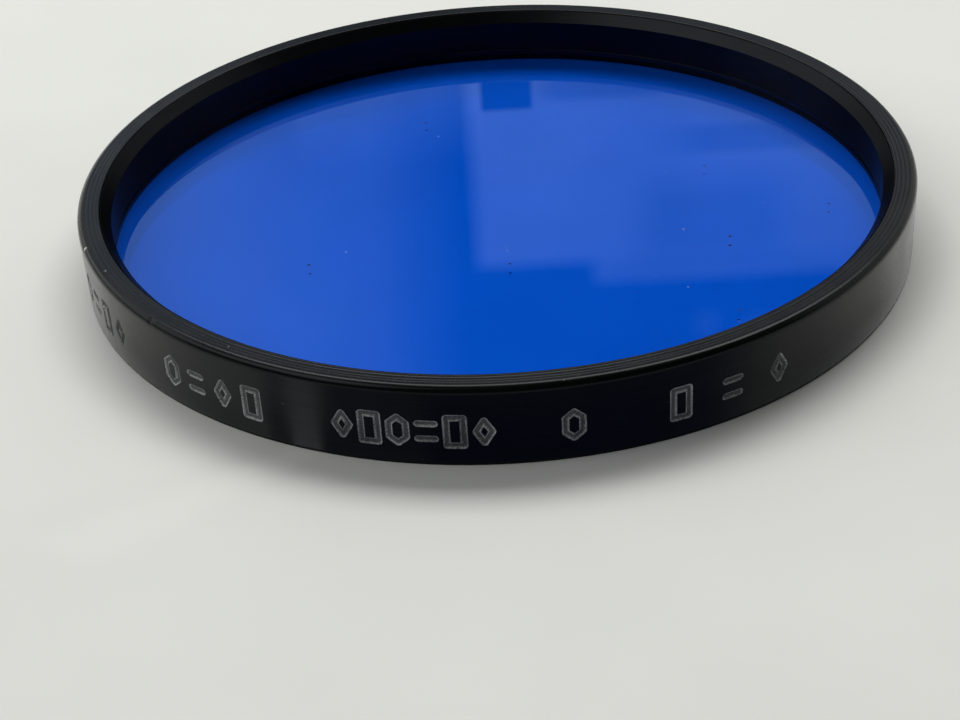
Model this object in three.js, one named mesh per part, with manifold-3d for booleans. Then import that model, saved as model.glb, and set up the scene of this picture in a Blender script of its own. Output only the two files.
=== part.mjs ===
// Drop-in colour filter of the Series 7 pattern: laminated blue glass in a turned rim.
// Millimetres. +Z runs along the optical axis, towards the retaining ring.
// The origin is the centre of the rim's lower face, on which the filter lies.

import * as THREE from "three";
import { mergeVertices } from "three/addons/utils/BufferGeometryUtils.js";
import Module from "manifold-3d";

// ---------------------------------------------------------------- driving dimensions

// Rim: a cup with a thin seat lip at its lower face.
const RIM_DIAMETER = 50.8;
const RIM_HEIGHT = 4.7;
const RIM_WALL = 1.35; // between the outer wall and the bore
const LIP_THICKNESS = 0.35;
const LIP_WIDTH = 0.4;
const LIP_FLARE = 0.1; // chamfer under the lip's aperture
const SHOULDER_RADIUS = 0.4; // round on the upper outer edge
const FOOT_BREAK = 0.06; // small chamfer on the lower outer edge
const SEAM_BREAK = 0.08; // chamfer on the rim's side of its joint with the ring

// Retaining ring, pressed into the bore on top of the glass.
const RING_WALL = 0.57;
const RING_FIT = 0.03; // radial gap left between ring and bore
const RING_RECESS = 0.06; // how far the ring's top edge sits below the rim's
const BEVEL_DEPTH = 0.69; // how far the bevel falls, from the ring's top edge to its bore

// Laminated glass.
const FRONT_GLASS_THICKNESS = 0.7;
const CORE_THICKNESS = 0.12;
const REAR_GLASS_THICKNESS = 0.73;
const GLASS_FIT = 0.15; // radial gap between glass and bore
const GLASS_EDGE_BREAK = 0.1; // ground chamfer on the glass edges
const CORE_INSET = 0.1; // how far the dyed layer stops short of the glass edge

// Marks stamped in the outer wall.
const MARK_HEIGHT = 2.05; // over the strokes
const MARK_WIDTH = 1.25; // over the strokes
const MARK_STROKE = 0.36;
const MARK_DEPTH = 0.1;
const MARK_CENTRE_HEIGHT = 2.08; // above the rim's lower face
const CLOSE_PITCH = 1.49; // round the wall, between the marks of the close group
const EVEN_PITCH = 1.96; // in the two even groups
const WIDE_PITCH = 3.07; // in the spaced group

// Facets round a full turn.
const TURN_STEPS = 96;
const SHOULDER_STEPS = 4;

// ---------------------------------------------------------------- derived sizes

const rimRadius = RIM_DIAMETER / 2;
const boreRadius = rimRadius - RIM_WALL;
const apertureRadius = boreRadius - LIP_WIDTH;

const ringOuterRadius = boreRadius - RING_FIT;
const ringInnerRadius = ringOuterRadius - RING_WALL;
const ringTop = RIM_HEIGHT - RING_RECESS;

const glassRadius = boreRadius - GLASS_FIT;
const rearGlassBottom = LIP_THICKNESS;
const coreBottom = rearGlassBottom + REAR_GLASS_THICKNESS;
const frontGlassBottom = coreBottom + CORE_THICKNESS;
const glassTop = frontGlassBottom + FRONT_GLASS_THICKNESS;

// ---------------------------------------------------------------- materials

const anodisedBlack = () =>
  new THREE.MeshStandardMaterial({ color: 0x17191c, roughness: 0.42, metalness: 0.35 });

const clearGlass = () =>
  new THREE.MeshStandardMaterial({
    color: 0xdfe9f5,
    roughness: 0.03,
    metalness: 0,
    transparent: true,
    opacity: 0.25,
  });

const dyedBlue = () =>
  new THREE.MeshStandardMaterial({
    color: 0x0050b4,
    roughness: 0.1,
    metalness: 0,
    transparent: true,
    opacity: 0.85,
  });

// ---------------------------------------------------------------- turned solids

// Turns a closed outline of [radius, height] points round the +Z axis.
function turned(outline) {
  const closed = [...outline, outline[0]];
  const profile = closed.map(([radius, height]) => new THREE.Vector2(radius, height));
  return new THREE.LatheGeometry(profile, TURN_STEPS).rotateX(Math.PI / 2);
}

// A disc with a chamfer on both edges. Its outline starts and ends on the axis.
function disc(radius, bottom, top, edgeBreak) {
  const profile = [
    new THREE.Vector2(0, bottom),
    new THREE.Vector2(radius - edgeBreak, bottom),
    new THREE.Vector2(radius, bottom + edgeBreak),
    new THREE.Vector2(radius, top - edgeBreak),
    new THREE.Vector2(radius - edgeBreak, top),
    new THREE.Vector2(0, top),
  ];
  return new THREE.LatheGeometry(profile, TURN_STEPS).rotateX(Math.PI / 2);
}

// Points of a quarter round, from the vertical wall to the flat top.
function quarterRound(radius, centreRadius, centreHeight) {
  const points = [];
  for (let step = 0; step <= SHOULDER_STEPS; step += 1) {
    const angle = (step / SHOULDER_STEPS) * (Math.PI / 2);
    points.push([
      centreRadius + radius * Math.cos(angle),
      centreHeight + radius * Math.sin(angle),
    ]);
  }
  return points;
}

// ---------------------------------------------------------------- boolean cuts

const wasm = await Module();
wasm.setup();

function solidFrom(geometry) {
  const bare = geometry.clone();
  bare.deleteAttribute("normal");
  bare.deleteAttribute("uv");
  const merged = mergeVertices(bare, 1e-4);
  return new wasm.Manifold(
    new wasm.Mesh({
      numProp: 3,
      vertProperties: merged.attributes.position.array,
      triVerts: new Uint32Array(merged.index.array),
    }),
  );
}

function geometryFrom(solid) {
  const mesh = solid.getMesh();
  const geometry = new THREE.BufferGeometry();
  geometry.setAttribute("position", new THREE.BufferAttribute(mesh.vertProperties, 3));
  geometry.setIndex(new THREE.BufferAttribute(mesh.triVerts, 1));
  geometry.computeVertexNormals();
  return geometry;
}

// ---------------------------------------------------------------- stamped marks

// Plain geometric marks, none of them a letter or a digit. Outlines are given anticlockwise on
// a square that runs from -1 to 1 both ways, and are stamped as one stroke along their inside.
const markOutlines = {
  frame: [[-1, -1], [1, -1], [1, 1], [-1, 1]],
  diamond: [[0, -1], [1, 0], [0, 1], [-1, 0]],
  hexagon: [[-1, -0.5], [0, -1], [1, -0.5], [1, 0.5], [0, 1], [-1, 0.5]],
};

// Two level bars, at these shares of the half height.
const RAIL_PLACES = [-0.45, 0.45];

// Groups of marks along the wall: the direction of each group's middle, measured round the
// axis from -Y towards +X, the pitch between its marks, and its marks from left to right.
const markGroups = [
  { middleDeg: -64.1, pitch: EVEN_PITCH, marks: ["hexagon", "rails", "frame", "diamond"] },
  { middleDeg: -38.4, pitch: EVEN_PITCH, marks: ["hexagon", "rails", "diamond", "frame"] },
  { middleDeg: -11.2, pitch: CLOSE_PITCH, marks: ["diamond", "frame", "hexagon", "rails", "frame", "diamond"] },
  { middleDeg: 7.5, pitch: CLOSE_PITCH, marks: ["hexagon"] },
  { middleDeg: 27.4, pitch: WIDE_PITCH, marks: ["frame", "rails", "diamond"] },
];

// A closed outline moved inwards by an even distance, with its corners kept sharp.
function inset(points, distance) {
  return points.map((point, index) => {
    const before = points.at(index - 1);
    const after = points[(index + 1) % points.length];
    const normalIn = point.clone().sub(before).normalize().rotateAround(new THREE.Vector2(), Math.PI / 2);
    const normalOut = after.clone().sub(point).normalize().rotateAround(new THREE.Vector2(), Math.PI / 2);
    const mitre = distance / (1 + normalIn.dot(normalOut));
    return point.clone().addScaledVector(normalIn.add(normalOut), mitre);
  });
}

function outlineShape(outline) {
  const points = outline.map(([x, y]) => new THREE.Vector2((x * MARK_WIDTH) / 2, (y * MARK_HEIGHT) / 2));
  const shape = new THREE.Shape(points);
  shape.holes.push(new THREE.Path(inset(points, MARK_STROKE)));
  return shape;
}

function railShape(place) {
  const middle = (place * MARK_HEIGHT) / 2;
  return new THREE.Shape([
    new THREE.Vector2(-MARK_WIDTH / 2, middle - MARK_STROKE / 2),
    new THREE.Vector2(MARK_WIDTH / 2, middle - MARK_STROKE / 2),
    new THREE.Vector2(MARK_WIDTH / 2, middle + MARK_STROKE / 2),
    new THREE.Vector2(-MARK_WIDTH / 2, middle + MARK_STROKE / 2),
  ]);
}

const markShapes = (name) => (name === "rails" ? RAIL_PLACES.map(railShape) : [outlineShape(markOutlines[name])]);

// A cutter for one mark, direction in radians: it reaches MARK_DEPTH into the wall and well
// out past it.
function markCutter(name, direction) {
  const reach = 1;
  return new THREE.ExtrudeGeometry(markShapes(name), { depth: MARK_DEPTH + reach, bevelEnabled: false })
    .rotateX(Math.PI / 2)
    .translate(0, MARK_DEPTH - rimRadius, MARK_CENTRE_HEIGHT)
    .rotateZ(direction);
}

function stamp(solid) {
  let stamped = solid;
  for (const { middleDeg, pitch, marks } of markGroups) {
    const middle = THREE.MathUtils.degToRad(middleDeg);
    marks.forEach((name, index) => {
      const arc = (index - (marks.length - 1) / 2) * pitch;
      stamped = stamped.subtract(solidFrom(markCutter(name, middle + arc / rimRadius)));
    });
  }
  return stamped;
}

// ---------------------------------------------------------------- pieces

function rimGeometry() {
  const outline = [
    [apertureRadius + LIP_FLARE, 0],
    [rimRadius - FOOT_BREAK, 0],
    [rimRadius, FOOT_BREAK],
    ...quarterRound(SHOULDER_RADIUS, rimRadius - SHOULDER_RADIUS, RIM_HEIGHT - SHOULDER_RADIUS),
    [boreRadius + SEAM_BREAK, RIM_HEIGHT],
    [boreRadius, RIM_HEIGHT - SEAM_BREAK],
    [boreRadius, LIP_THICKNESS],
    [apertureRadius, LIP_THICKNESS],
    [apertureRadius, LIP_FLARE],
  ];
  return geometryFrom(stamp(solidFrom(turned(outline))));
}

// The ring's whole top is one bevel, which falls inwards.
function retainingRingGeometry() {
  return turned([
    [ringInnerRadius, glassTop],
    [ringOuterRadius, glassTop],
    [ringOuterRadius, ringTop],
    [ringInnerRadius, ringTop - BEVEL_DEPTH],
  ]);
}

// The dyed layer is trimmed square, with no chamfer.
function colourCoreGeometry() {
  const radius = glassRadius - CORE_INSET;
  return new THREE.CylinderGeometry(radius, radius, CORE_THICKNESS, TURN_STEPS)
    .rotateX(Math.PI / 2)
    .translate(0, 0, coreBottom + CORE_THICKNESS / 2);
}

function piece(name, geometry, material) {
  const mesh = new THREE.Mesh(geometry, material);
  mesh.name = name;
  return mesh;
}

const filter = new THREE.Group();
filter.add(
  piece("rim", rimGeometry(), anodisedBlack()),
  piece("retaining_ring", retainingRingGeometry(), anodisedBlack()),
  piece("front_glass", disc(glassRadius, frontGlassBottom, glassTop, GLASS_EDGE_BREAK), clearGlass()),
  piece("colour_core", colourCoreGeometry(), dyedBlue()),
  piece("rear_glass", disc(glassRadius, rearGlassBottom, coreBottom, GLASS_EDGE_BREAK), clearGlass()),
);

export default filter;
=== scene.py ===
"""Drop-in colour filter: the looks, built round the packed frame.

Laid out as a Blender add-on and run as a script. Each operator makes one piece or one group of
like pieces, and the panel in the 3D view's sidebar lists them with their sizes and colours.
All lengths are in metres, in the frame's own axes: +Z along the optical axis, -Y towards the
stamped marks.
"""

import math

import bmesh
import bpy
import numpy as np
from mathutils import Matrix, Vector


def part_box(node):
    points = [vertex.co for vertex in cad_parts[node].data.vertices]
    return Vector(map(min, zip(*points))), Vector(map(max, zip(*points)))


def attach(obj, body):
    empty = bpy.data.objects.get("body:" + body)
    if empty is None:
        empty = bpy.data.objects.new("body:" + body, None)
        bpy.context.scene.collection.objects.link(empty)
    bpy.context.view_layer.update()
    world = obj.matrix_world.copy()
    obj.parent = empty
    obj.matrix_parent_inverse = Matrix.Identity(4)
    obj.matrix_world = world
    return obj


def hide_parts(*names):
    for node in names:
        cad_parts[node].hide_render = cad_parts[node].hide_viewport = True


bl_info = {
    "name": "Drop-in colour filter",
    "version": (1, 0, 0),
    "blender": (4, 5, 0),
    "location": "3D View > Sidebar > Filter",
    "description": "Makes a turned, anodised filter rim with its laminated blue glass",
    "category": "Object",
}

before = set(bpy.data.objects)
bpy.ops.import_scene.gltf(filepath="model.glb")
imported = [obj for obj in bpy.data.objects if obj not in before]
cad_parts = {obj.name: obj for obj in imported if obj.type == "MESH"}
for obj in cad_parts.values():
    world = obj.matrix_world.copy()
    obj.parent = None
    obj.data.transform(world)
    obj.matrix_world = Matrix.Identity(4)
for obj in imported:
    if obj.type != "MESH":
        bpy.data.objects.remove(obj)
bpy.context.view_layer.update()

MM = 0.001

# Lowest and highest corners of the pieces, from the frame.
_, RIM_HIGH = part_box("rim")
RING_LOW, RING_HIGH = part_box("retaining_ring")
FRONT_LOW, FRONT_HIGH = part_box("front_glass")
CORE_LOW, CORE_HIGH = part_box("colour_core")
REAR_LOW, REAR_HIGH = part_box("rear_glass")
RIM_RADIUS = RIM_HIGH.x
RIM_HEIGHT = RIM_HIGH.z

# Numbers of a Mix node's sockets: its two colours, its second value, and the colour it gives.
COLOUR_A, COLOUR_B = 6, 7
VALUE_B = 3
MIXED = 2


# ------------------------------------------------------------------ colours and nodes


def linear(code):
    """The linear RGBA of an sRGB hex colour such as "#1a1b1d"."""
    values = [int(code[i : i + 2], 16) / 255 for i in (1, 3, 5)]
    return tuple(v / 12.92 if v <= 0.04045 else ((v + 0.055) / 1.055) ** 2.4 for v in values) + (1.0,)


def put(tree, kind, settings=None, **links):
    """Adds a node and returns it. settings are its own properties, or its inputs' values by name
    or number. links name inputs, with underscores for blanks, or i0, i1 and so on for their
    number, and give the socket that feeds them, or the node whose first output does."""
    made = tree.nodes.new(kind)
    for key, value in (settings or {}).items():
        if isinstance(key, int) or key in made.inputs:
            made.inputs[key].default_value = value
        else:
            setattr(made, key, value)
    for key, source in links.items():
        name = int(key[1:]) if key[1:].isdigit() else key.replace("_", " ")
        output = source.outputs[0] if isinstance(source, bpy.types.Node) else source
        tree.links.new(output, made.inputs[name])
    return made


def blank_material(name):
    """A material, its node tree, its output node and the place on the piece, in metres."""
    material = bpy.data.materials.new(name)
    material.use_nodes = True
    tree = material.node_tree
    tree.nodes.clear()
    out = put(tree, "ShaderNodeOutputMaterial")
    return material, tree, out, put(tree, "ShaderNodeTexCoord").outputs["Object"]


def scaled(colour, factor):
    """The colour, so many times as bright."""
    return tuple(factor * c for c in colour[:3]) + (1.0,)


# ------------------------------------------------------------------ materials


def turning_lines(tree, place, pitch, length):
    """Noise drawn out round the axis, as a lathe tool leaves it: it changes every pitch across
    the cut, and over about length round it. It has no seam, because the direction goes in as a
    point on a circle."""
    parts = put(tree, "ShaderNodeSeparateXYZ", Vector=place)
    flat = put(tree, "ShaderNodeCombineXYZ", X=parts.outputs["X"], Y=parts.outputs["Y"])
    radius = put(tree, "ShaderNodeVectorMath", {"operation": "LENGTH"}, i0=flat).outputs["Value"]
    across = put(tree, "ShaderNodeMath", {"operation": "ADD"}, i0=radius, i1=parts.outputs["Z"])
    rows = put(tree, "ShaderNodeMath", {"operation": "DIVIDE", 1: pitch}, i0=across)
    heading = put(tree, "ShaderNodeVectorMath", {"operation": "NORMALIZE"}, i0=flat)
    round_rim = {"operation": "SCALE", "Scale": RIM_RADIUS / length}
    turned = put(tree, "ShaderNodeVectorMath", round_rim, i0=heading)
    around = put(tree, "ShaderNodeSeparateXYZ", Vector=turned)
    point = put(tree, "ShaderNodeCombineXYZ", X=around.outputs["X"], Y=around.outputs["Y"], Z=rows)
    return put(tree, "ShaderNodeTexNoise", {"Scale": 1.0, "Detail": 2.0, "Roughness": 0.6}, Vector=point)


def specks(tree, place, spacing, size, keep, level=False):
    """A mask of small round specks: one in each cell of spacing, up to size across, of which
    only the share keep is there. A level face needs cells in its own plane."""
    settings = {"voronoi_dimensions": "2D" if level else "3D", "Scale": 1 / spacing}
    cells = put(tree, "ShaderNodeTexVoronoi", settings, Vector=place)
    chance = put(tree, "ShaderNodeSeparateColor", Color=cells.outputs["Color"])
    there = put(tree, "ShaderNodeMath", {"operation": "LESS_THAN", 1: keep}, i0=chance)
    most = 0.5 * size / spacing
    sizes = {"To Min": most / 2, "To Max": most}
    reach = put(tree, "ShaderNodeMapRange", sizes, Value=chance.outputs["Green"])
    away = cells.outputs["Distance"]
    inside = put(tree, "ShaderNodeMath", {"operation": "SUBTRACT"}, i0=reach, i1=away)
    soft = put(tree, "ShaderNodeMapRange", {"From Max": most / 4}, Value=inside)
    return put(tree, "ShaderNodeMath", {"operation": "MULTIPLY"}, i0=soft, i1=there)


def anodised_aluminium(name, colour, roughness, grazing, filler, filler_edge):
    """Black anodised aluminium, turned. The dyed oxide is a deep black that goes pale only at a
    grazing look, by the share grazing; the tool's fine lines show through it as a satin sheen.
    A few grains of dust lie on what faces up, and nicks go down to bare metal."""
    material, tree, out, place = blank_material(name)
    lines = turning_lines(tree, place, 0.09 * MM, 7 * MM)
    cloud = put(tree, "ShaderNodeTexNoise", {"Scale": 1 / (2.6 * MM), "Detail": 4.0}, Vector=place)
    grain = put(tree, "ShaderNodeTexNoise", {"Scale": 1 / (0.11 * MM), "Detail": 2.0}, Vector=place)
    stamp = put(tree, "ShaderNodeAttribute", {"attribute_name": "stamp"}).outputs["Fac"]
    bare = put(tree, "ShaderNodeAttribute", {"attribute_name": "bare"}).outputs["Fac"]

    # The oxide is a little uneven in depth, from line to line and less so from place to place.
    uneven = put(tree, "ShaderNodeMath", {"operation": "MULTIPLY_ADD", 1: 0.4}, i0=cloud, i2=lines)
    depth = put(tree, "ShaderNodeMapRange", {"From Min": 0.45, "From Max": 0.95}, Value=uneven)
    shades = {"data_type": "RGBA", COLOUR_A: scaled(colour, 0.85), COLOUR_B: scaled(colour, 1.15)}
    oxide = put(tree, "ShaderNodeMix", shades, i0=depth).outputs[MIXED]

    # Filler in the stamped marks: pale along their edges and darker towards each stroke's middle.
    # Most of it has come out of the marks at the -X end, where only flecks are left.
    middle = put(tree, "ShaderNodeMapRange", {"From Min": 0.22, "From Max": 0.65}, Value=stamp)
    wiped = {"data_type": "RGBA", COLOUR_A: filler_edge, COLOUR_B: filler}
    paste = put(tree, "ShaderNodeMix", wiped, i0=middle).outputs[MIXED]
    along = put(tree, "ShaderNodeSeparateXYZ", Vector=place)
    lost_span = {"From Min": -19.5 * MM, "From Max": -21.5 * MM, "To Max": 0.3}
    lost = put(tree, "ShaderNodeMapRange", lost_span, Value=along)
    patchy = put(tree, "ShaderNodeMath", {"operation": "ADD"}, i0=grain, i1=cloud)
    dirty = put(tree, "ShaderNodeMath", {"operation": "ADD"}, i0=patchy, i1=lost)
    dirt_span = {"From Min": 0.82, "From Max": 1.25, "To Max": 0.85}
    dirt = put(tree, "ShaderNodeMapRange", dirt_span, Value=dirty)
    soiled = {"data_type": "RGBA", COLOUR_B: scaled(filler, 0.2)}
    paste = put(tree, "ShaderNodeMix", soiled, i0=dirt, i6=paste).outputs[MIXED]
    crumbs = specks(tree, place, 0.26 * MM, 0.2 * MM, 0.45)
    left_in = put(tree, "ShaderNodeMath", {"operation": "MULTIPLY"}, i0=crumbs, i1=lost)
    kept = put(tree, "ShaderNodeMath", {"operation": "MULTIPLY", 1: 3.0}, i0=left_in)
    crumbled = {"data_type": "RGBA", COLOUR_B: filler_edge}
    paste = put(tree, "ShaderNodeMix", crumbled, i0=kept, i6=paste).outputs[MIXED]
    filled = put(tree, "ShaderNodeMapRange", {"From Min": 0.02, "From Max": 0.12}, Value=stamp)
    dressed = put(tree, "ShaderNodeMix", {"data_type": "RGBA"}, i0=filled, i6=oxide, i7=paste)
    bright_metal = {"data_type": "RGBA", COLOUR_B: linear("#c8c9c6")}
    coloured = put(tree, "ShaderNodeMix", bright_metal, i0=bare, i6=dressed.outputs[MIXED])

    # Filler is matt and isn't metal; the oxide is satin.
    smoothest, roughest = roughness - 0.02, roughness + 0.03
    satin_span = {"From Min": 0.3, "From Max": 0.7, "To Min": smoothest, "To Max": roughest}
    satin = put(tree, "ShaderNodeMapRange", satin_span, Value=cloud)
    rough = put(tree, "ShaderNodeMix", {"data_type": "FLOAT", VALUE_B: 0.7}, i0=filled, i2=satin)
    metal = put(tree, "ShaderNodeMapRange", {"To Min": 1.0, "To Max": 0.0}, Value=filled)
    cut = put(tree, "ShaderNodeBump", {"Strength": 0.22, "Distance": 0.012 * MM}, Height=lines)
    etching = {"Strength": 0.15, "Distance": 0.006 * MM}
    etched = put(tree, "ShaderNodeBump", etching, Height=grain, Normal=cut)
    surface = put(
        tree,
        "ShaderNodeBsdfPrincipled",
        {"Specular Tint": (grazing, grazing, grazing, 1.0)},
        Base_Color=coloured.outputs[MIXED],
        Metallic=metal,
        Roughness=rough,
        Normal=etched,
    )

    # Grains of dust, only where they can lie.
    normal = put(tree, "ShaderNodeNewGeometry").outputs["Normal"]
    up = put(tree, "ShaderNodeSeparateXYZ", Vector=normal).outputs["Z"]
    lying_span = {"From Min": 0.1, "From Max": 0.9, "To Min": 0.1, "To Max": 0.5}
    lies = put(tree, "ShaderNodeMapRange", lying_span, Value=up)
    grains = specks(tree, place, 0.9 * MM, 0.12 * MM, 0.22)
    dust = put(tree, "ShaderNodeMath", {"operation": "MULTIPLY"}, i0=grains, i1=lies)
    pale = put(tree, "ShaderNodeBsdfDiffuse", {"Color": linear("#b9b8b2")})
    put_on = put(tree, "ShaderNodeMixShader", i0=dust, i1=surface, i2=pale)
    tree.links.new(put_on.outputs[0], out.inputs["Surface"])
    return material


def polished_glass(name):
    """Clear optical glass, ground and polished flat. It mirrors what is above it, more at a low
    look; a few wiped smears dull the mirror in places, and dust has settled on it. Lamps, and
    light that the table scatters back, meet a plain window instead, so that the table under the
    glass is lit evenly and without specks of light."""
    material, tree, out, place = blank_material(name)
    wiped = {"Scale": 1 / (9 * MM), "Detail": 3.0, "Distortion": 1.5}
    smears = put(tree, "ShaderNodeTexNoise", wiped, Vector=place)
    dulled = {"From Min": 0.5, "From Max": 0.75, "To Max": 0.035}
    rough = put(tree, "ShaderNodeMapRange", dulled, Value=smears)
    clear = {"Base Color": (1.0, 1.0, 1.0, 1.0), "Transmission Weight": 1.0, "IOR": 1.52}
    surface = put(tree, "ShaderNodeBsdfPrincipled", clear, Roughness=rough)
    # Grains of dust: colour, spacing and size in millimetres, and the share that is there.
    dust = (
        ("#2a3648", 2.1, 0.09, 0.25),
        ("#0a1020", 6.3, 0.22, 0.3),
        ("#aebfd4", 5.1, 0.11, 0.3),
    )
    for code, spacing, size, keep in dust:
        matt = {"Base Color": linear(code), "Roughness": 0.9}
        grain = put(tree, "ShaderNodeBsdfPrincipled", matt)
        mask = specks(tree, place, spacing * MM, size * MM, keep, level=True)
        surface = put(tree, "ShaderNodeMixShader", i0=mask, i1=surface, i2=grain)
    path = put(tree, "ShaderNodeLightPath")
    window = put(tree, "ShaderNodeBsdfTransparent")
    from_table, to_lamp = path.outputs["Is Diffuse Ray"], path.outputs["Is Shadow Ray"]
    scattered = put(tree, "ShaderNodeMixShader", i0=from_table, i1=surface, i2=window)
    lamps = put(tree, "ShaderNodeMixShader", i0=to_lamp, i1=scattered, i2=window)
    tree.links.new(lamps.outputs[0], out.inputs["Surface"])
    return material


def blackened_edge(name):
    """Glass edge ground with coarse grit and inked black, so that it throws no light into the
    picture: matt, with the grit's fine frosting showing through the ink."""
    material, tree, out, place = blank_material(name)
    grit = put(tree, "ShaderNodeTexNoise", {"Scale": 1 / (0.08 * MM), "Detail": 3.0}, Vector=place)
    share = put(tree, "ShaderNodeMapRange", {"From Min": 0.35, "From Max": 0.75}, Value=grit)
    shades = {"data_type": "RGBA", COLOUR_A: linear("#0c0e12"), COLOUR_B: linear("#2a2e36")}
    colour = put(tree, "ShaderNodeMix", shades, i0=share).outputs[MIXED]
    bump = put(tree, "ShaderNodeBump", {"Strength": 0.5, "Distance": 0.01 * MM}, Height=grit)
    surface = put(tree, "ShaderNodeBsdfPrincipled", {"Roughness": 0.8}, Base_Color=colour, Normal=bump)
    tree.links.new(surface.outputs[0], out.inputs["Surface"])
    return material


def cemented_face(name):
    """A glass face wetted by optical cement of the same index: nothing is mirrored or bent there,
    so the eye sees straight through. Tiny pale flecks are dust shut in when the discs were
    joined."""
    material, tree, out, place = blank_material(name)
    window = put(tree, "ShaderNodeBsdfTransparent")
    fleck = put(tree, "ShaderNodeBsdfDiffuse", {"Color": linear("#b8c4d2")})
    mask = specks(tree, place, 4.3 * MM, 0.08 * MM, 0.12, level=True)
    both = put(tree, "ShaderNodeMixShader", i0=mask, i1=window, i2=fleck)
    tree.links.new(both.outputs[0], out.inputs["Surface"])
    return material


def dyed_layer(name, tint):
    """A thin cast film dyed deep blue. Each face passes the root of what the whole film passes.
    The dye lies all but evenly, in faint clouds some millimetres across."""
    material, tree, out, place = blank_material(name)
    cloud = put(tree, "ShaderNodeTexNoise", {"Scale": 1 / (7 * MM), "Detail": 2.0}, Vector=place)
    share = put(tree, "ShaderNodeMapRange", {"From Min": 0.3, "From Max": 0.7}, Value=cloud)
    one_face = tuple(math.sqrt(c) for c in tint[:3])
    shades = {"data_type": "RGBA", COLOUR_A: scaled(one_face, 1.01), COLOUR_B: scaled(one_face, 0.985)}
    dye = put(tree, "ShaderNodeMix", shades, i0=share).outputs[MIXED]
    film = put(tree, "ShaderNodeBsdfTransparent", Color=dye)
    tree.links.new(film.outputs[0], out.inputs["Surface"])
    return material


def matt_laminate(name, colour):
    """A pale table top of matt laminate: nearly even, with a faint mottle and little shine."""
    material, tree, out, place = blank_material(name)
    cloud = put(tree, "ShaderNodeTexNoise", {"Scale": 1 / (14 * MM), "Detail": 5.0}, Vector=place)
    share = put(tree, "ShaderNodeMapRange", {"From Min": 0.3, "From Max": 0.7}, Value=cloud)
    shades = {"data_type": "RGBA", COLOUR_A: scaled(colour, 0.965), COLOUR_B: colour}
    mottled = put(tree, "ShaderNodeMix", shades, i0=share)
    surface = put(
        tree,
        "ShaderNodeBsdfPrincipled",
        {"Roughness": 0.75, "Specular IOR Level": 0.25},
        Base_Color=mottled.outputs[MIXED],
    )
    tree.links.new(surface.outputs[0], out.inputs["Surface"])
    return material


# ------------------------------------------------------------------ meshes


def arc(centre_r, centre_z, radius, from_degrees, to_degrees, steps):
    """Points (r, z) of an arc, ends included."""
    angles = np.radians(np.linspace(from_degrees, to_degrees, steps + 1))
    return [(centre_r + radius * math.cos(a), centre_z + radius * math.sin(a)) for a in angles]


def even_directions(count):
    """Directions round the axis, measured from -Y towards +X, in radians."""
    return np.linspace(-math.pi, math.pi, count, endpoint=False)


def turned_grid(outline, directions):
    """Points of an (r, z) outline turned to each direction, as an array [direction, point, xyz]."""
    r, z = np.array(outline).T
    grid = np.empty((len(directions), len(outline), 3))
    grid[:, :, 0] = np.sin(directions)[:, None] * r
    grid[:, :, 1] = -np.cos(directions)[:, None] * r
    grid[:, :, 2] = z
    return grid


def object_from(name, points, faces, smooth_degrees):
    """A mesh object with its normals outwards, smooth but for edges sharper than given."""
    mesh = bpy.data.meshes.new(name)
    mesh.from_pydata(points, [], faces)
    work = bmesh.new()
    work.from_mesh(mesh)
    bmesh.ops.recalc_face_normals(work, faces=work.faces)
    work.to_mesh(mesh)
    work.free()
    mesh.shade_smooth()
    mesh.set_sharp_from_angle(angle=math.radians(smooth_degrees))
    made = bpy.data.objects.new(name, mesh)
    bpy.context.scene.collection.objects.link(made)
    return made


def turned_ring(name, grid, smooth_degrees):
    """A ring from a turned grid whose outline closes on itself."""
    turns, rows = grid.shape[:2]
    faces = []
    for i in range(turns):
        j = (i + 1) % turns
        for k in range(rows):
            m = (k + 1) % rows
            faces.append((i * rows + k, j * rows + k, j * rows + m, i * rows + m))
    return object_from(name, grid.reshape(-1, 3), faces, smooth_degrees)


def turned_disc(name, outline, directions, smooth_degrees):
    """A disc from an outline that runs from its lower face to its upper one, closed by a flat
    face at each end."""
    grid = turned_grid(outline, directions)
    turns, rows = grid.shape[:2]
    faces = []
    for i in range(turns):
        j = (i + 1) % turns
        for k in range(rows - 1):
            faces.append((i * rows + k, j * rows + k, j * rows + k + 1, i * rows + k + 1))
    faces.append(tuple(i * rows for i in range(turns)))
    faces.append(tuple(i * rows + rows - 1 for i in range(turns)))
    return object_from(name, grid.reshape(-1, 3), faces, smooth_degrees)


def float_attribute(piece, name, values):
    """Stores a value at each point, for a material to read."""
    attribute = piece.data.attributes.new(name, "FLOAT", "POINT")
    attribute.data.foreach_set("value", np.asarray(values, np.float32).ravel())


def smooth_step(value, low, high):
    """0 below low and 1 above high, with a smooth rise between."""
    t = np.clip((value - low) / (high - low), 0.0, 1.0)
    return t * t * (3 - 2 * t)


def stands_for(piece, node):
    """Puts a piece in its node's place, on the one body."""
    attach(piece, "root")
    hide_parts(node)


# ------------------------------------------------------------------ stamped marks

# Plain geometric marks, none of them a letter or a digit, on a square that runs from -1 to 1
# both ways. An outline is stamped as one stroke along its inside.
MARK_OUTLINES = {
    "frame": [(-1, -1), (1, -1), (1, 1), (-1, 1)],
    "diamond": [(0, -1), (1, 0), (0, 1), (-1, 0)],
    "hexagon": [(-1, -0.5), (0, -1), (1, -0.5), (1, 0.5), (0, 1), (-1, 0.5)],
}
RAIL_PLACES = (-0.45, 0.45)

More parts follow.
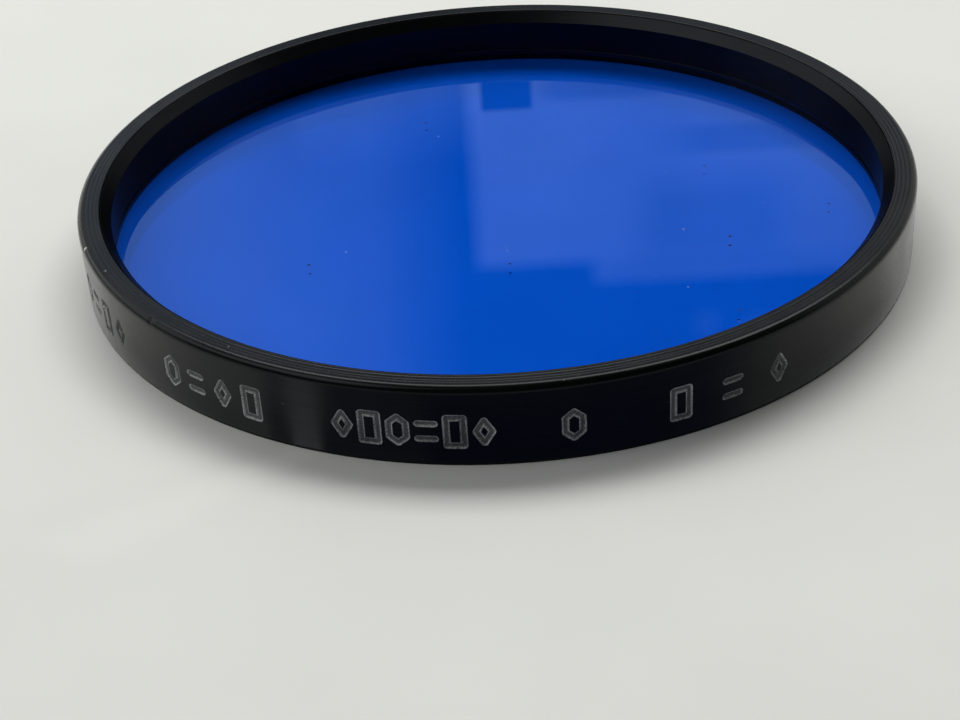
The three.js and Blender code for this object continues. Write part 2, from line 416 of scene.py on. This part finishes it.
# Groups of marks: the direction of the group's middle in degrees from -Y towards +X, the pitch
# between its marks, and its marks from left to right.
MARK_GROUPS = [
    (-64.1, "even_pitch", ["hexagon", "rails", "frame", "diamond"]),
    (-38.4, "even_pitch", ["hexagon", "rails", "diamond", "frame"]),
    (-11.2, "close_pitch", ["diamond", "frame", "hexagon", "rails", "frame", "diamond"]),
    (7.5, "close_pitch", ["hexagon"]),
    (27.4, "wide_pitch", ["frame", "rails", "diamond"]),
]


def mark_strokes(name, width, height, stroke):
    """The middle lines of a mark's strokes, each from one point to another."""
    if name == "rails":
        half = (width - stroke) / 2
        return [((-half, p * height / 2), (half, p * height / 2)) for p in RAIL_PLACES]
    points = [Vector((x * width / 2, y * height / 2)) for x, y in MARK_OUTLINES[name]]
    inner = []
    for i, point in enumerate(points):
        normal_in = (point - points[i - 1]).normalized().orthogonal()
        normal_out = (points[(i + 1) % len(points)] - point).normalized().orthogonal()
        mitre = stroke / 2 / (1 + normal_in.dot(normal_out))
        inner.append(point + (normal_in + normal_out) * mitre)
    return [(tuple(p), tuple(inner[(i + 1) % len(inner)])) for i, p in enumerate(inner)]


def distance_to_stroke(u, v, stroke):
    """How far the points (u, v) are from a stroke's middle line."""
    (ax, ay), (bx, by) = stroke
    run, rise = bx - ax, by - ay
    along = np.clip(((u - ax) * run + (v - ay) * rise) / (run**2 + rise**2), 0, 1)
    return np.hypot(u - ax - along * run, v - ay - along * rise)


def placed_marks(sizes):
    """Each mark's direction in radians and its name."""
    placed = []
    for middle, pitch_name, names in MARK_GROUPS:
        for i, name in enumerate(names):
            offset = (i - (len(names) - 1) / 2) * getattr(sizes, pitch_name)
            placed.append((math.radians(middle) + offset / RIM_RADIUS, name))
    return placed


# ------------------------------------------------------------------ settings


def length_property(name, description, millimetres):
    return bpy.props.FloatProperty(
        name=name, description=description, default=millimetres * MM, min=0.0, precision=6, unit="LENGTH"
    )


def colour_property(name, description, code):
    return bpy.props.FloatVectorProperty(
        name=name,
        description=description,
        default=linear(code),
        size=4,
        min=0.0,
        max=1.0,
        subtype="COLOR",
    )


class FilterRimSizes(bpy.types.PropertyGroup):
    """Sizes and colours of the rim."""

    seat_aperture: length_property("Seat aperture", "Radius of the opening in the seat lip", 23.65)
    lip_thickness: length_property("Lip thickness", "Height of the seat lip", 0.35)
    lip_flare: length_property("Lip flare", "Chamfer under the seat's aperture", 0.1)
    shoulder: length_property("Shoulder", "Radius of the round on the upper outer edge", 0.4)
    foot: length_property("Foot", "Radius of the round on the lower outer edge", 0.06)
    seam: length_property("Seam break", "Round on the rim's side of the joint with the ring", 0.08)
    bore: length_property("Bore", "Radius of the bore", 24.05)
    ripple_pitch: length_property("Ripple pitch", "Spacing of the turned ripples on the top face", 0.24)
    ripple_depth: length_property("Ripple depth", "Depth of the turned ripples on the top face", 0.012)
    mark_width: length_property("Mark width", "Width of a stamped mark", 1.25)
    mark_height: length_property("Mark height", "Height of a stamped mark", 2.05)
    mark_stroke: length_property("Mark stroke", "Width of a stamped stroke", 0.36)
    mark_depth: length_property("Mark depth", "Depth of a stamped stroke", 0.1)
    mark_centre: length_property("Mark centre", "Height of the marks' middle above the lower face", 2.08)
    close_pitch: length_property("Close pitch", "Spacing in the close group", 1.49)
    even_pitch: length_property("Even pitch", "Spacing in the even groups", 1.96)
    wide_pitch: length_property("Wide pitch", "Spacing in the spaced group", 3.07)
    oxide: colour_property("Oxide", "Colour of the black anodising", "#222324")
    filler: colour_property("Filler", "Colour of the filler in the marks", "#5a5e61")
    filler_edge: colour_property("Filler edge", "Colour of the filler along the marks' edges", "#b8bcbd")


class FilterRingSizes(bpy.types.PropertyGroup):
    """Sizes and colours of the retaining ring."""

    bore: length_property("Bore", "Radius of the ring's bore", 23.45)
    edge: length_property("Edge", "Tiny round on the bevel's upper edge", 0.02)
    bevel_depth: length_property("Bevel depth", "How far the bevel falls, out to in", 0.69)
    oxide: colour_property("Oxide", "Colour of the black anodising", "#202224")


class FilterGlassSizes(bpy.types.PropertyGroup):
    """Sizes and colours of the laminated glass."""

    edge: length_property("Edge break", "Ground chamfer on the glass edges", 0.1)
    cement: length_property("Cement film", "Gap left between the glasses and the dyed layer", 0.005)
    tint: colour_property("Tint", "What the dyed layer lets through", "#009cf6")


class FilterStageSizes(bpy.types.PropertyGroup):
    """The table, the lamps and the camera."""

    table: colour_property("Table", "Colour of the table", "#e9eae6")
    window: colour_property("Window light", "Colour of the light that the glass mirrors", "#b9dcff")
    table_size: length_property("Table size", "Side of the table", 3000)
    lens: bpy.props.FloatProperty(
        name="Lens",
        description="Focal length on a 36 mm sensor",
        default=68.03,
        subtype="DISTANCE_CAMERA",
    )


# ------------------------------------------------------------------ operators


class MakeRim(bpy.types.Operator):
    """Make the turned rim with its seat lip, its rounded shoulder and the stamped marks"""

    bl_idname = "filter_part.rim"
    bl_label = "Rim"

    # Steps of the mesh: across the marks and dents, round the rest of the rim, and across the
    # top face.
    fine_step = 0.055 * MM
    coarse_turns = 360
    top_rows = 26
    # One more row splits the underside at this radius.
    underside_radius = 24.3 * MM
    # A stamped groove's section, in shares of half the stroke: where its flat floor ends, where
    # its wall meets the surface, and how far out the filler is smeared.
    floor_end = 0.4
    wall_end = 1.05
    smear_end = 1.06
    # A dent moves only what is within this of the outer wall. Above the given height it is
    # also pushed down, by this share of its depth.
    dent_skin = 0.9 * MM
    dent_down_from = 4 * MM
    dent_down = 0.6
    # Bare metal starts to show at the first share of a dent's depth, and is all there at the next.
    bare_from, bare_to = 0.3, 0.6
    # How close a point is to the outer wall when it counts as on it.
    tolerance = 1e-7
    # Small dents and nicks: direction in degrees, radius, height, reach, depth and how bare
    # they are.
    dents = (
        (-70.9, 25.28 * MM, 4.57 * MM, 0.13 * MM, 0.04 * MM, 1.0),
        (-63.2, 24.9 * MM, 4.7 * MM, 0.08 * MM, 0.02 * MM, 0.5),
        (-48.4, 25.28 * MM, 4.57 * MM, 0.16 * MM, 0.045 * MM, 0.0),
        (16.7, 25.4 * MM, 1.76 * MM, 0.1 * MM, 0.03 * MM, 0.0),
        (-3.7, 25.4 * MM, 4.2 * MM, 0.1 * MM, 0.02 * MM, 0.0),
        (56.0, 25.35 * MM, 2.2 * MM, 0.07 * MM, 0.01 * MM, 0.6),
    )

    def directions(self, marks, sizes):
        """Even steps round the rim, and fine ones across each mark and dent."""
        half = sizes.mark_width / 2 + 2.5 * self.fine_step
        step = self.fine_step / RIM_RADIUS
        found = even_directions(self.coarse_turns)
        spans = [(d, half / RIM_RADIUS) for d, _ in marks]
        spans += [(math.radians(d), 3 * reach / RIM_RADIUS) for d, _, _, reach, _, _ in self.dents]
        for middle, reach in sorted(spans):
            found = found[np.abs(found - middle) > reach]
            found = np.union1d(found, np.arange(middle - reach, middle + reach, step))
        # Where two sets of steps meet, one that is much too short is left out.
        wide_enough = np.diff(found, append=found[0] + 2 * math.pi) > 0.3 * step
        return found[wide_enough]

    def outline(self, sizes):
        """The rim's section. The wall has fine rows where the marks are."""
        low = sizes.mark_centre - sizes.mark_height / 2
        high = sizes.mark_centre + sizes.mark_height / 2
        margin = 2 * self.fine_step
        rows = np.arange(low - margin, high + margin, self.fine_step)
        wall_top = RIM_HEIGHT - sizes.shoulder
        below = np.linspace(sizes.foot, rows[0], 4)[1:-1]
        above = np.linspace(rows[-1], wall_top, 8)[1:-1]
        wall = [(RIM_RADIUS, z) for z in (*below, *rows, *above)]
        flat_out = RIM_RADIUS - sizes.shoulder
        flat_in = sizes.bore + sizes.seam
        top = []
        for r in np.linspace(flat_out, flat_in, self.top_rows)[1:-1]:
            # Two waves out of step, between 0 and 1 together, so that no two ripples are alike.
            turn = 2 * math.pi * (flat_out - r) / sizes.ripple_pitch
            dip = 0.5 - 0.35 * math.cos(turn) - 0.15 * math.cos(1.7 * turn + 0.6)
            top.append((r, RIM_HEIGHT - sizes.ripple_depth * dip))
        return [
            (sizes.seat_aperture + sizes.lip_flare, 0.0),
            (self.underside_radius, 0.0),
            *arc(RIM_RADIUS - sizes.foot, sizes.foot, sizes.foot, -90, 0, steps=3),
            *wall,
            *arc(flat_out, wall_top, sizes.shoulder, 0, 90, steps=8),
            *top,
            *arc(flat_in, RIM_HEIGHT - sizes.seam, sizes.seam, 90, 180, steps=4),
            (sizes.bore, RING_LOW.z),
            (sizes.bore, sizes.lip_thickness),
            (sizes.seat_aperture, sizes.lip_thickness),
            (sizes.seat_aperture, sizes.lip_flare),
        ]

    def stamp(self, grid, directions, marks, sizes):
        """Presses the marks into the wall. Returns how near the middle of a stroke each point
        lies, 0 to 1."""
        z = grid[0, :, 2]
        radius = np.hypot(grid[0, :, 0], grid[0, :, 1])
        on_wall = np.abs(radius - RIM_RADIUS) < self.tolerance
        half_stroke = sizes.mark_stroke / 2
        deep = np.zeros(grid.shape[:2])
        move = np.zeros(grid.shape[:2])
        for middle, name in marks:
            reach = sizes.mark_width / 2 + 4 * self.fine_step
            near = np.abs(directions - middle) * RIM_RADIUS < reach
            u = ((directions[near] - middle) * RIM_RADIUS)[:, None]
            v = (z - sizes.mark_centre)[None, :]
            strokes = mark_strokes(name, sizes.mark_width, sizes.mark_height, sizes.mark_stroke)
            nearest = np.min([distance_to_stroke(u, v, s) for s in strokes], axis=0) / half_stroke
            sunk = sizes.mark_depth * (1 - smooth_step(nearest, self.floor_end, self.wall_end))
            smeared = np.clip(self.smear_end - nearest, 0, 1) * on_wall
            deep[near] = np.maximum(deep[near], smeared)
            move[near] = np.minimum(move[near], -sunk)
        move *= on_wall
        scale = 1 + move / RIM_RADIUS
        grid[:, :, 0] *= scale
        grid[:, :, 1] *= scale
        return deep

    def dent(self, grid, directions):
        """Knocks the dents in, towards the middle of the section. Returns how bare each point
        is, 0 to 1."""
        bare = np.zeros(grid.shape[:2])
        radius = np.hypot(grid[:, :, 0], grid[:, :, 1])
        height = grid[:, :, 2].copy()
        outside = radius > RIM_RADIUS - self.dent_skin
        for direction, at_radius, at_height, reach, depth, bareness in self.dents:
            u = (directions - math.radians(direction))[:, None] * RIM_RADIUS
            away = np.sqrt(u**2 + (radius - at_radius) ** 2 + (height - at_height) ** 2) / reach
            hit = np.exp(-(away**2)) * outside
            scale = 1 - depth * hit / RIM_RADIUS
            grid[:, :, 0] *= scale
            grid[:, :, 1] *= scale
            grid[:, :, 2] -= self.dent_down * depth * hit * (height > self.dent_down_from)
            shows = smooth_step(hit, self.bare_from, self.bare_to)
            bare = np.maximum(bare, bareness * shows)
        return bare

    def execute(self, context):
        sizes = context.scene.filter_rim
        marks = placed_marks(sizes)
        directions = self.directions(marks, sizes)
        outline = self.outline(sizes)
        grid = turned_grid(outline, directions)
        deep = self.stamp(grid, directions, marks, sizes)
        bare = self.dent(grid, directions)

        rim = turned_ring("rim_turned", grid, smooth_degrees=40)
        float_attribute(rim, "stamp", deep)
        float_attribute(rim, "bare", bare)
        black = anodised_aluminium(
            "black_anodised_aluminium_turned",
            sizes.oxide,
            roughness=0.27,
            grazing=1.0,
            filler=sizes.filler,
            filler_edge=sizes.filler_edge,
        )
        rim.data.materials.append(black)
        stands_for(rim, "rim")
        return {"FINISHED"}


class MakeRetainingRing(bpy.types.Operator):
    """Make the pressed-in retaining ring, whose whole top is one bevel"""

    bl_idname = "filter_part.retaining_ring"
    bl_label = "Retaining ring"

    turns = 360
    bevel_rows = 14
    bore_rows = 8

    def execute(self, context):
        sizes = context.scene.filter_ring
        outer, top, bottom = RING_HIGH.x, RING_HIGH.z, RING_LOW.z
        foot = top - sizes.bevel_depth
        slope = math.degrees(math.atan2(sizes.bevel_depth, outer - sizes.bore))
        crest = arc(outer - sizes.edge, top - sizes.edge, sizes.edge, 0, 90 + slope, steps=5)
        bevel = np.linspace(crest[-1], (sizes.bore, foot), self.bevel_rows)[1:]
        outline = [
            (sizes.bore, bottom),
            (outer, bottom),
            *crest,
            *[tuple(point) for point in bevel],
            *[(sizes.bore, z) for z in np.linspace(foot, bottom, self.bore_rows)[1:-1]],
        ]
        grid = turned_grid(outline, even_directions(self.turns))
        ring = turned_ring("retaining_ring_turned", grid, smooth_degrees=25)
        # It has no marks, so nothing on it is filled.
        black = anodised_aluminium(
            "black_anodised_aluminium_ring",
            sizes.oxide,
            roughness=0.32,
            grazing=0.5,
            filler=sizes.oxide,
            filler_edge=sizes.oxide,
        )
        ring.data.materials.append(black)
        stands_for(ring, "retaining_ring")
        return {"FINISHED"}


class MakeGlasses(bpy.types.Operator):
    """Make the two clear glasses, polished outside, inked at the edge and cemented inside"""

    bl_idname = "filter_part.glasses"
    bl_label = "Glasses"

    turns = 256

    def glass(self, name, low, high, edge, outer_face_up, materials):
        """One glass between the corners low and high, with its three materials."""
        radius = high.x
        outline = [
            (radius - edge, low.z),
            (radius, low.z + edge),
            (radius, high.z - edge),
            (radius - edge, high.z),
        ]
        disc = turned_disc(name, outline, even_directions(self.turns), smooth_degrees=20)
        for material in materials:
            disc.data.materials.append(material)
        polished, ground, cemented = range(3)
        for face in disc.data.polygons:
            is_level = abs(face.normal.z) > 0.9
            if not is_level:
                face.material_index = ground
            elif (face.normal.z > 0) == outer_face_up:
                face.material_index = polished
            else:
                face.material_index = cemented
        return disc

    def execute(self, context):
        sizes = context.scene.filter_glass
        materials = [
            polished_glass("polished_optical_glass"),
            blackened_edge("ground_and_inked_edge"),
            cemented_face("cemented_glass_face"),
        ]
        front = self.glass("front_glass_polished", FRONT_LOW, FRONT_HIGH, sizes.edge, True, materials)
        rear = self.glass("rear_glass_polished", REAR_LOW, REAR_HIGH, sizes.edge, False, materials)
        stands_for(front, "front_glass")
        stands_for(rear, "rear_glass")
        return {"FINISHED"}


class MakeColourCore(bpy.types.Operator):
    """Make the dyed layer between the glasses, a cement film thinner than its room"""

    bl_idname = "filter_part.colour_core"
    bl_label = "Colour core"

    turns = 256

    def execute(self, context):
        sizes = context.scene.filter_glass
        radius = CORE_HIGH.x
        outline = [(radius, CORE_LOW.z + sizes.cement), (radius, CORE_HIGH.z - sizes.cement)]
        core = turned_disc("colour_core_film", outline, even_directions(self.turns), smooth_degrees=30)
        core.data.materials.append(dyed_layer("blue_dyed_film", sizes.tint))
        stands_for(core, "colour_core")
        return {"FINISHED"}


class MakeStage(bpy.types.Operator):
    """Make the table, the soft lamps, the camera, the mirrored lit wall, and a mirrored card of painted
    shade and light
    """

    bl_idname = "filter_part.stage"
    bl_label = "Stage"

    # Where the camera stands, and the axes of its right and up.
    camera_place = Vector((0.0, -100.433, 54.474)) * MM
    camera_right = Vector((0.99833, -0.01868, -0.05461))
    camera_up = Vector((0.05606, 0.53919, 0.84032))
    # Lamps, all aimed at the filter: name, place in millimetres, width, height, power in
    # watts, colour.
    lamps = (
        ("top_softbox", (40, 330, 530), 640, 240, 2.95, "#fffefa"),
        ("left_softbox", (-480, 300, 300), 900, 420, 1.6, "#fdfdfc"),
        ("right_softbox", (480, 300, 250), 900, 420, 0.7, "#fdfdfc"),
        ("front_softbox", (-400, -180, 500), 400, 400, 0.8, "#fdfdfc"),
    )
    room_colour = "#c3c8cc"
    room_strength = 0.1
    # The lit wall: how far behind the filter it stands, and its edges, in millimetres.
    wall_distance = 400
    wall_left, wall_right, wall_low, wall_high = -340, 300, 20, 420
    # Panes of the lit wall, in millimetres: left, right, low and high edge, softness of the
    # left and right edge and of the level edges, and brightness. Negative panes are shades.
    # The glass mirrors the window panes; only the metal mirrors the white ones round them.
    window_panes = (
        (-132, -24, 155, 300, 28, 12, 0.25),
        (-180, -60, 155, 300, 70, 12, 0.42),
        (-60, -4, 155, 186, 4, 24, 0.22),
        (-6.6, 122, 155, 235, 6, 6, 0.55),
        (30, 122, 235, 243, 6, 6, 0.42),
        (-2.8, 12.3, 155, 181, 2, 2, -0.6),
        (16, 52, 168, 179, 8, 3, -0.26),
        (55, 122, 190, 199, 20, 3, -0.22),
        (45, 90, 208, 236, 14, 12, -0.2),
        (62, 70, 256, 266, 6, 6, 0.12),
        (78, 88, 258, 268, 8, 6, 0.12),
    )
    white_panes = (
        (-400, -105, 0, 105, 60, 30, 1.6),
        (-400, -128, 125, 440, 10, 10, 0.34),
        (124, 400, 60, 440, 10, 10, 0.6),
        (-128, 0, 60, 150, 20, 10, 0.1),
        (0, 124, 60, 150, 20, 10, 0.3),
        (-128, 0, 305, 440, 20, 16, 0.15),
        (0, 124, 303, 440, 20, 12, 0.4),
    )
    # How much painted shade the card before the rim puts in the rim's wall, keeping the table's light
    # off what it mirrors, by direction in degrees from -Y towards +X: 1 is all of it, and below 0 the
    # card adds painted light instead.
    card_painted_shade = (
        (-60, 0.0), (-50, -0.1), (-36, -0.3), (-30, -0.45), (-29, 0.4), (-27, 0.4),
        (-26, -0.9), (-23, -0.9), (-22, 0.6), (-11, 0.65), (-8, 0.88), (16, 0.88),
        (24, 0.75), (28, 0.45), (31, 0.1), (35, -0.1), (50, -0.1), (60, 0.0),
    )
    # How far the card's painted light fills in the rim's shadow where it touches the rim, and how far it
    # brightens what the rim's sides mirror, between these directions either side, in degrees.
    card_fill = 0.33
    side_fill = 0.27
    side_from, side_to = (50, 62), (76, 86)
    # The card's height over the table, how far its rows are from the rim, in millimetres, and
    # its brightness.
    card_height = 0.05 * MM
    card_reaches = (0.1, 0.9, 1.8, 2.7, 3.6, 14.0)
    card_strength = 1.15

    def pane_light(self, tree, place, panes, colour):
        """An emission as bright as the panes together, a little uneven and never quite dark."""
        parts = put(tree, "ShaderNodeSeparateXYZ", Vector=place)
        x, z = parts.outputs["X"], parts.outputs["Z"]
        cloud = put(tree, "ShaderNodeTexNoise", {"Scale": 1 / (60 * MM), "Detail": 2.0}, Vector=place)
        span = {"From Min": 0.3, "From Max": 0.7, "To Min": 0.8, "To Max": 1.15}
        patchy = put(tree, "ShaderNodeMapRange", span, Value=cloud)
        total = None
        for left, right, low, high, soft, level_soft, bright in panes:
            value = patchy
            for along, edge, width, start, end in (
                (x, left, soft, 0.0, bright),
                (x, right, soft, 1.0, 0.0),
                (z, low, level_soft, 0.0, 1.0),
                (z, high, level_soft, 1.0, 0.0),
            ):
                near, far = (edge - width / 2) * MM, (edge + width / 2) * MM
                span = {"From Min": near, "From Max": far, "To Min": start, "To Max": end}
                fade = put(tree, "ShaderNodeMapRange", span, Value=along)
                value = put(tree, "ShaderNodeMath", {"operation": "MULTIPLY"}, i0=value, i1=fade)
            if total is None:
                total = value
            else:
                total = put(tree, "ShaderNodeMath", {"operation": "ADD"}, i0=total, i1=value)
        lowest = put(tree, "ShaderNodeMath", {"operation": "MAXIMUM", 1: 0.01}, i0=total)
        return put(tree, "ShaderNodeEmission", {"Color": colour}, Strength=lowest)

    def lit_wall(self, name, colour):
        """A wall behind the table, off to where only the glass and the metal see it: a room's
        window light, falling off softly. It shows in the glass as pale panes."""
        material, tree, out, place = blank_material(name)
        window = self.pane_light(tree, place, self.window_panes, colour)
        white = self.pane_light(tree, place, self.white_panes, linear("#f4f3ef"))
        both = put(tree, "ShaderNodeAddShader", i0=window, i1=white)
        tree.links.new(both.outputs[0], out.inputs["Surface"])
        return material

    def painted_shade_and_light_card(self, name):
        """A curved card just above the table before the rim, which only the rim's wall mirrors: painted
        shade and painted light. Its middle is dark, painted shade, with a little painted blue light like
        the blue that the glass throws. At the sides it glows, painted light that fills in the rim's own
        shadow, close to the rim."""
        degrees = np.arange(-88.0, 88.5, 0.5)
        reaches = np.array(self.card_reaches) * MM
        outwards = np.stack([np.sin(np.radians(degrees)), -np.cos(np.radians(degrees))], axis=1)
        look = RIM_RADIUS * outwards - np.array(self.camera_place.xy)
        look /= np.linalg.norm(look, axis=1)[:, None]
        mirrored = look - 2 * np.sum(look * outwards, axis=1)[:, None] * outwards
        place = RIM_RADIUS * outwards[None] + reaches[:, None, None] * mirrored[None]
        height = np.full(place.shape[:2] + (1,), self.card_height)
        rows, count = place.shape[:2]
        faces = []
        for row in range(rows - 1):
            for i in range(count - 1):
                first = row * count + i
                faces.append((first, first + 1, first + count + 1, first + count))
        points = np.concatenate([place, height], axis=2).reshape(-1, 3)
        card = object_from(name, points, faces, smooth_degrees=30)

        shade = np.interp(degrees, *zip(*self.card_painted_shade))[None] + 0 * reaches[:, None]
        close = 1 - smooth_step(reaches[:, None], reaches[0], reaches[-2])
        away = np.abs(degrees)
        at_side = smooth_step(away, *self.side_from) - smooth_step(away, *self.side_to)
        # dark is the card's painted shade, and fill is its painted light.
        dark = np.maximum(shade, 0.0)
        filled = np.maximum(self.card_fill * close, self.side_fill * at_side)
        fill = np.maximum(filled * (1 - dark), -shade)
        # Never quite nothing, because fill is divided by it.
        cover = np.maximum(np.maximum(dark, fill), 0.001)
        float_attribute(card, "cover", cover)
        float_attribute(card, "pale", fill / cover)
        material, tree, out, _ = blank_material(name)
        cover = put(tree, "ShaderNodeAttribute", {"attribute_name": "cover"}).outputs["Fac"]
        pale = put(tree, "ShaderNodeAttribute", {"attribute_name": "pale"}).outputs["Fac"]
        # Painted light: a dark blue glow in the card's shaded middle, and a white glow where it fills
        # in.
        ends = {"data_type": "RGBA", COLOUR_A: linear("#2c4272"), COLOUR_B: linear("#ffffff")}
        colour = put(tree, "ShaderNodeMix", ends, i0=pale).outputs[MIXED]
        window = put(tree, "ShaderNodeBsdfTransparent")
        glow = put(tree, "ShaderNodeEmission", {"Strength": self.card_strength}, Color=colour)
        both = put(tree, "ShaderNodeMixShader", i0=cover, i1=window, i2=glow)
        tree.links.new(both.outputs[0], out.inputs["Surface"])
        card.data.materials.append(material)
        card.visible_camera = False
        card.visible_diffuse = False
        card.visible_transmission = False
        card.visible_shadow = False

    def execute(self, context):
        sizes = context.scene.filter_stage
        half = sizes.table_size / 2
        corners = [(-half, -half, 0), (half, -half, 0), (half, half, 0), (-half, half, 0)]
        table = object_from("table_top", corners, [(0, 1, 2, 3)], smooth_degrees=30)
        table.data.materials.append(matt_laminate("matt_white_laminate", sizes.table))

        corners = [
            Vector((x, self.wall_distance, z)) * MM
            for x, z in (
                (self.wall_left, self.wall_low),
                (self.wall_right, self.wall_low),
                (self.wall_right, self.wall_high),
                (self.wall_left, self.wall_high),
            )
        ]
        wall = object_from("lit_wall", corners, [(0, 1, 2, 3)], smooth_degrees=30)
        wall.data.materials.append(self.lit_wall("window_light", sizes.window))
        wall.visible_camera = False
        wall.visible_shadow = False

        # A card of painted shade and painted light, seen only in the rim's wall.
        self.painted_shade_and_light_card("painted_shade_and_light_card")

        for name, place, width, height, power, code in self.lamps:
            lamp = bpy.data.lights.new(name, "AREA")
            lamp.shape = "RECTANGLE"
            lamp.size, lamp.size_y = width * MM, height * MM
            lamp.energy = power
            lamp.color = linear(code)[:3]
            holder = bpy.data.objects.new(name, lamp)
            holder.location = Vector(place) * MM
            holder.rotation_euler = (-holder.location).to_track_quat("-Z", "Y").to_euler()
            holder.visible_camera = False
            context.scene.collection.objects.link(holder)

        world = bpy.data.worlds.new("dim_room")
        world.use_nodes = True
        background = world.node_tree.nodes["Background"]
        background.inputs["Color"].default_value = linear(self.room_colour)
        background.inputs["Strength"].default_value = self.room_strength
        context.scene.world = world

        camera = bpy.data.cameras.new("camera")
        camera.lens = sizes.lens
        camera.sensor_width = 36.0
        camera.clip_start, camera.clip_end = 1 * MM, 10.0
        holder = bpy.data.objects.new("camera", camera)
        back = self.camera_right.cross(self.camera_up)
        turn = Matrix((self.camera_right, self.camera_up, back)).transposed()
        holder.matrix_world = Matrix.Translation(self.camera_place) @ turn.to_4x4()
        context.scene.collection.objects.link(holder)
        context.scene.camera = holder
        context.scene.view_settings.view_transform = "Standard"
        context.scene.view_settings.look = "None"
        # Light crosses the laminate's six faces on its way to the table, and again on its way out.
        context.scene.cycles.transparent_max_bounces = 24
        return {"FINISHED"}


# ------------------------------------------------------------------ panel and registration

STEPS = (MakeRim, MakeRetainingRing, MakeGlasses, MakeColourCore, MakeStage)
SETTINGS = (
    ("filter_rim", FilterRimSizes),
    ("filter_ring", FilterRingSizes),
    ("filter_glass", FilterGlassSizes),
    ("filter_stage", FilterStageSizes),
)


class FilterPanel(bpy.types.Panel):
    """The operators in order, and the settings that they read"""

    bl_idname = "VIEW3D_PT_filter_part"
    bl_label = "Drop-in filter"
    bl_space_type = "VIEW_3D"
    bl_region_type = "UI"
    bl_category = "Filter"

    def draw(self, context):
        for step in STEPS:
            self.layout.operator(step.bl_idname)
        for name, group in SETTINGS:
            box = self.layout.box()
            box.label(text=group.__doc__)
            for key in group.__annotations__:
                box.prop(getattr(context.scene, name), key)


CLASSES = (*(group for _, group in SETTINGS), *STEPS, FilterPanel)


def register():
    for item in CLASSES:
        bpy.utils.register_class(item)
    for name, group in SETTINGS:
        setattr(bpy.types.Scene, name, bpy.props.PointerProperty(type=group))


def unregister():
    for name, _ in SETTINGS:
        delattr(bpy.types.Scene, name)
    for item in reversed(CLASSES):
        bpy.utils.unregister_class(item)


def main():
    register()
    bpy.ops.filter_part.rim()
    bpy.ops.filter_part.retaining_ring()
    bpy.ops.filter_part.glasses()
    bpy.ops.filter_part.colour_core()
    bpy.ops.filter_part.stage()


if __name__ == "__main__":
    main()
